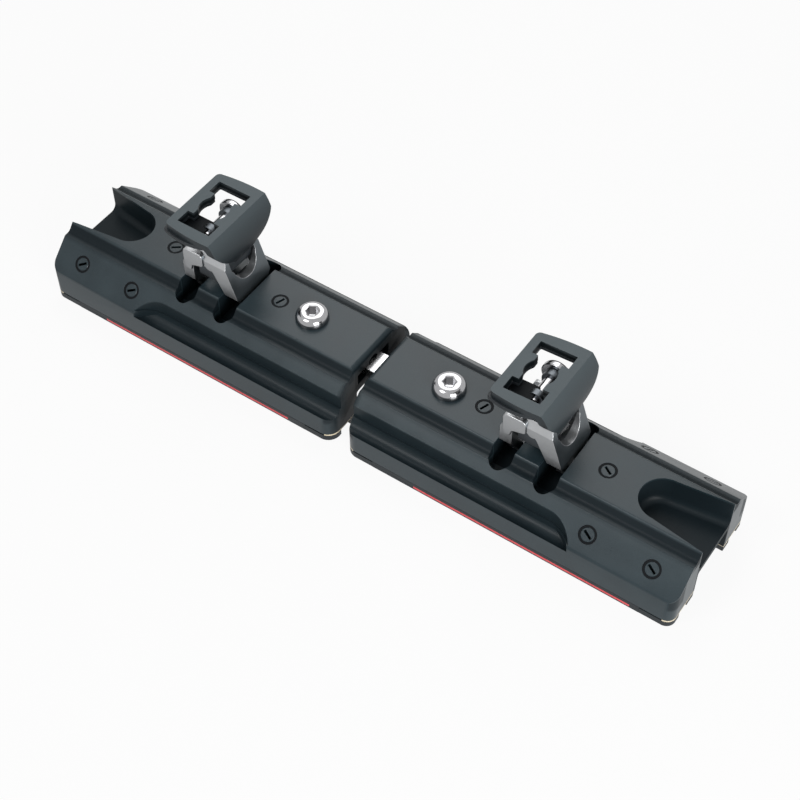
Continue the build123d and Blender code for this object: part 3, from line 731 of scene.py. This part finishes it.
# Block pin: a domed head at the far end and a short tail at the near end
pin = {
    "shank": 3.2, "head": 7.6, "near": -11.4, "far": 14.4, "seat": 9.1, "rim": 2.4, "edge": 0.5,
    "aside": -1.5, "rise": 35.5, "steps": 48, "bends": 8,
}
# Toggle yoke: a dark hub on the yoke pin and a steel fork for the block's pin
hub = {"radius": 10.0, "deep": 9.3, "open": (-214, 34)}
fork = {
    "neck": 6.2, "neckDeep": 5.9, "foot": 20.0, "shoulder": 25.0, "waist": 24.6, "out": 9.0, "in": 5.2,
    "root": 28.4, "rootRound": 4, "round": 5.0, "within": 10, "edges": 0.5,
}


def pinShape():
    shank, head, seat, edge = pin["shank"], pin["head"], pin["seat"], pin["edge"]
    outline = [(0.0, pin["near"]), (shank - edge, pin["near"]), (shank, pin["near"] + edge), (shank, seat)]
    outline += [(head - edge, seat), (head, seat + edge), (head, seat + pin["rim"])]
    dome = pin["far"] - seat - pin["rim"]
    for i in range(1, pin["bends"] + 1):
        bend = i / pin["bends"] * pi / 2
        outline.append((head * cos(bend), seat + pin["rim"] + dome * sin(bend)))
    return across(turnedProfile(outline, pin["steps"]), pin["aside"], pin["rise"], -90)


def hubShape():
    outline = arc(0, toggle["pivot"], hub["radius"], *hub["open"], 30)
    return prism(outline, "y", -hub["deep"], hub["deep"])


def forkShape():
    neck, low = fork["neck"], fork["shoulder"]
    head = [(-neck, fork["foot"]), (neck, fork["foot"]), (neck, low)]
    head += arc(pin["aside"], pin["rise"], fork["round"], 0, 180, 16) + [(-neck, low)]
    shape = prism(head, "y", -fork["out"], fork["out"])
    deep, wide = fork["neckDeep"], fork["out"] + 1
    waist = mirrored([(deep, fork["within"]), (deep, fork["waist"]), (wide, fork["waist"]), (wide, aloft)])
    shape = combined(shape, "INTERSECT", prism(waist, "x", -beyond, beyond))
    inner, bend = fork["in"], fork["rootRound"]
    gap = arc(-inner + bend, fork["root"] + bend, bend, 180, 270, 6)
    gap += arc(inner - bend, fork["root"] + bend, bend, 270, 360, 6) + [(inner, aloft), (-inner, aloft)]
    return combined(shape, "DIFFERENCE", prism(gap, "x", -beyond, beyond))


# Stand-up hood: a flat roof with a keyed window, one bowed wall and a foot round the yoke
hood = {
    "left": -18.3, "right": 10.5, "deep": 23.6, "top": 45.6, "roof": 3.6, "wall": 3.2,
    "crown": 2.0, "corner": 2.6, "cornerIn": 2.25, "leftDip": 0.35, "rightDip": 0.3, "rightIn": (2.0, 1.8),
    "bulge": (15.2, 32.5), "foot": (11.8, 20.6), "footIn": (9.6, 23.8), "planRight": 24.0,
    "sole": [(10.2, 19.6), (-8.8, 21.0), (-8.8, 24.0)], "past": 2.0,
    "taper": (23.8, 40.0), "bend": (19.28, 33.5), "tongue": (9.8, 26.0),
    "tongueRound": (0, 29.0, 9.6, -18, -90, 10), "neck": (6.3, 6.0), "neckUp": (10, 30), "edges": 0.9,
}
window = {"x": -3.8, "half": 10.0, "deep": 17.0, "waist": 6.5, "bite": 8.2, "tab": 8.6, "low": 36}
lip = {"proud": 1.1, "thick": 2.2, "edges": 0.5}
# A near-black sheet under each window that paints shade
shadeSheet = {"margin": 0.8, "right": 2.2, "far": -3.4, "drop": 4.2, "thick": 1.8}


def hoodPlan(proud=0.0, right=None):
    left, end = hood["left"] - proud, hood["deep"] - hood["crown"] + proud
    side = hood["right"] + proud if right is None else right
    turn = left + hood["corner"]
    along, deep = hood["rightIn"]
    first, last = (turn, -end - hood["leftDip"]), (side - along, -end - hood["rightDip"])
    near = bowed(first, ((left + side) / 2, -end - hood["crown"]), last, 12)
    far = [(x, -y) for x, y in reversed(near)]
    plan = near + [(side, -end + deep), (side, end - deep)] + far
    plan += arc(turn, end - hood["cornerIn"], hood["corner"], 100, 180, 5)
    return plan + arc(turn, -end + hood["cornerIn"], hood["corner"], 180, 260, 5)


def windowPlan():
    # Slots at both ends, and between them two pairs of teeth and a round bite
    meet = degrees(acos(window["waist"] / window["bite"]))
    bite = arc(0, 0, window["bite"], -meet, meet, 10)
    waist, tab, half, deep = (window[key] for key in ("waist", "tab", "half", "deep"))
    right = [(half, -deep), (half, -tab), (waist, -tab)] + bite
    right += [(waist, tab), (half, tab), (half, deep)]
    return [(window["x"] + x, y) for x, y in right + [(-x, -y) for x, y in right]]


def hoodSection():
    # Seen across the track: the roof, the bowed wall and the foot
    top, roof, wall, left = hood["top"], hood["top"] - hood["roof"], hood["wall"], hood["left"] - hood["past"]
    (bulgeOut, bulgeUp), right = hood["bulge"], hood["right"]
    outer = bowed((right, top), hood["bulge"], hood["foot"], 20)
    inner = bowed(hood["footIn"], (bulgeOut - wall, bulgeUp), (right - wall, roof), 18)
    return outer + hood["sole"] + inner + [(left, roof), (left, top)]


def hoodFront():
    # Seen along the track: full width above, bowed in to a round tongue at the foot
    side = bowed(hood["taper"], hood["bend"], hood["tongue"], 14)
    return mirrored([(hood["taper"][0], aloft)] + side + arc(*hood["tongueRound"])[:-1])


def windowCut():
    return prism(windowPlan(), "z", window["low"], aloft)


def hoodShape():
    shape = prism(hoodSection(), "y", -beyond, beyond)
    shape = combined(shape, "INTERSECT", prism(hoodFront(), "x", -beyond, beyond))
    shape = combined(shape, "INTERSECT", prism(hoodPlan(right=hood["planRight"]), "z", 0, aloft))
    shape = combined(shape, "DIFFERENCE", windowCut())
    return combined(shape, "DIFFERENCE", prism(rectangle(*hood["neck"]), "z", *hood["neckUp"]))


def lipShape():
    # The lower layer of the roof, proud of it on three sides
    low = hood["top"] - hood["roof"] - lip["thick"]
    plate = prism(hoodPlan(lip["proud"], hood["right"] - hood["wall"]), "z", low, low + lip["thick"])
    return combined(plate, "DIFFERENCE", windowCut())


def shadeSheetShape():
    # A near-black sheet under the near part of the window: painted shade where the deck lies in the hood's
    # shadow
    half, deep = window["half"] + shadeSheet["margin"], window["deep"] + shadeSheet["margin"]
    left, right = window["x"] - half, window["x"] + shadeSheet["right"]
    low = hood["top"] - hood["roof"] - shadeSheet["drop"]
    outline = [(left, -deep), (right, -deep), (right, shadeSheet["far"]), (left, shadeSheet["far"])]
    return prism(outline, "z", low, low + shadeSheet["thick"])


for car in "ab":
    ending = car.upper()
    yokeNode, hoodNode, linerNode = "toggle_yoke_" + car, "toggle_hood_" + car, "hood_liner_" + car
    finished(standing(hubShape(), car, True), "toggleHub" + ending, "moulded", yokeNode)
    made = finished(standing(forkShape(), car, True), "toggleFork" + ending, "shadedCast", yokeNode)
    rounded(made, fork["edges"])
    finished(standing(pinShape(), car, True), "blockPin" + ending, "darkSteel", "block_pin_" + car, 35)
    made = finished(standing(hoodShape(), car, True), "toggleHood" + ending, "hood", hoodNode)
    rounded(made, hood["edges"])
    made = finished(standing(lipShape(), car, True), "hoodLip" + ending, "moulded", linerNode)
    rounded(made, lip["edges"])
    finished(standing(shadeSheetShape(), car, True), "hoodShade" + ending, "shade", linerNode)
print("toggles made")

# Camera at the photograph's angle
view = {
    "place": (0.31206, -0.43351, 0.65615), "forward": (-0.3592, 0.5195, -0.7753),
    "roll": -0.00722, "lens": 72.87, "sensor": 36,
}
camera = bpy.data.objects.new("camera", bpy.data.cameras.new("camera"))
bpy.context.scene.collection.objects.link(camera)
camera.data.lens = view["lens"]
camera.data.sensor_width = view["sensor"]
camera.data.clip_start = 0.01
ahead = Vector(view["forward"]).normalized()
right = ahead.cross(Vector((0, 0, 1))).normalized()
up = right.cross(ahead)
rolledRight = cos(view["roll"]) * right + sin(view["roll"]) * up
rolledUp = cos(view["roll"]) * up - sin(view["roll"]) * right
turned = Matrix((rolledRight, rolledUp, -ahead)).transposed().to_4x4()
camera.matrix_world = Matrix.Translation(view["place"]) @ turned
bpy.context.scene.camera = camera

# Lights: one wide lamp overhead, one along the near side, one low at the right
lamps = {
    "overhead": {"place": (-0.30, 0.58, 0.88), "size": 0.75, "power": 5.0},
    "nearSide": {"place": (-0.30, -0.72, 0.95), "size": 0.5, "power": 6.0},
    "right": {"place": (0.95, -0.55, 0.40), "size": 0.6, "power": 13.0},
}
for name, lamp in lamps.items():
    light = bpy.data.lights.new(name, "AREA")
    light.size = lamp["size"]
    light.energy = lamp["power"]
    made = bpy.data.objects.new(name, light)
    bpy.context.scene.collection.objects.link(made)
    made.location = lamp["place"]
    made.rotation_euler = (-Vector(lamp["place"])).to_track_quat("-Z", "Y").to_euler()


def shown(tree):
    # 1 where the camera, a reflection or a see-through piece shows the studio, 0 for its light
    rays = tree.nodes.new("ShaderNodeLightPath")
    names = ("Is Camera Ray", "Is Glossy Ray", "Is Transmission Ray")
    seen, glossy, through = (Link(tree, rays.outputs[name]) for name in names)
    return seen.larger(glossy.larger(through))


# Studio: a white surround that lights the object only a little, and a pale floor
studio = {"light": 0.16, "size": 3.0, "dark": 0.60, "pale": 0.64, "white": 0.92, "rough": 0.8, "cloud": 30}
world = bpy.data.worlds.new("studio")
bpy.context.scene.world = world
world.use_nodes = True
surround = world.node_tree.nodes["Background"]
surround.inputs["Color"].default_value = (1, 1, 1, 1)
connect(surround, "Strength", shown(world.node_tree) * (1 - studio["light"]) + studio["light"])

floor = bpy.data.objects.new("floor", bpy.data.meshes.new("floor"))
bpy.context.scene.collection.objects.link(floor)
sheet = bmesh.new()
bmesh.ops.create_grid(sheet, x_segments=1, y_segments=1, size=studio["size"])
sheet.to_mesh(floor.data)
sheet.free()
floorLook, floorShader, floorPlace = newMaterial("paleFloor")
pale = noise(floorPlace, studio["cloud"], 2).tint([studio["dark"]] * 3, [studio["pale"]] * 3)
connect(floorShader, "Base Color", pale)
connect(floorShader, "Roughness", studio["rough"])
floorTree = floorLook.node_tree
share = shown(floorTree) * studio["white"]
glow = share.add("ShaderNodeEmission", None, {"Color": (1, 1, 1, 1), "Strength": 1.0})
plain = Link(floorTree, floorShader.outputs[0])
mixed = share.add("ShaderNodeMixShader", None, {0: share, 1: plain, 2: glow})
floorTree.links.new(mixed.socket, floorTree.nodes["Material Output"].inputs["Surface"])
floor.data.materials.append(floorLook)

bpy.context.scene.view_settings.view_transform = "Standard"
print("camera, lights and floor set")
